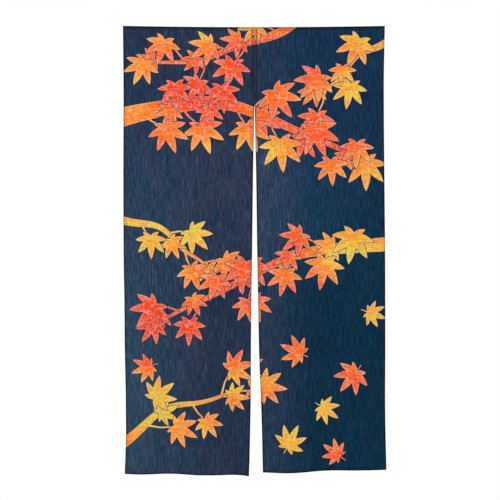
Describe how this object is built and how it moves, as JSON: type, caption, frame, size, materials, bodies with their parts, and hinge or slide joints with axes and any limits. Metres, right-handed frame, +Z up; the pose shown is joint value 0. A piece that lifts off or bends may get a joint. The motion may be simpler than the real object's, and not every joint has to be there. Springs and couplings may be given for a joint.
{
  "type": "noren curtain",
  "caption": "Doorway curtain of dyed cloth with hemmed panels, joined along a seam at the top and parted by a slit below it.",
  "frame": {"origin": "middle of the top edge, on the dyed face", "axes": "+Z up, +X to the right as seen from the dyed face, -Y out of the dyed face"},
  "size_m": [0.8752, 0.0291, 1.4981],
  "materials": {
    "cloth_left": "matt slub weave, dyed and printed",
    "cloth_right": "matt slub weave, dyed and printed"
  },
  "bodies": {
    "root": {"panel_left": "cloth_left", "panel_right": "cloth_right"}
  },
  "joints": []
}
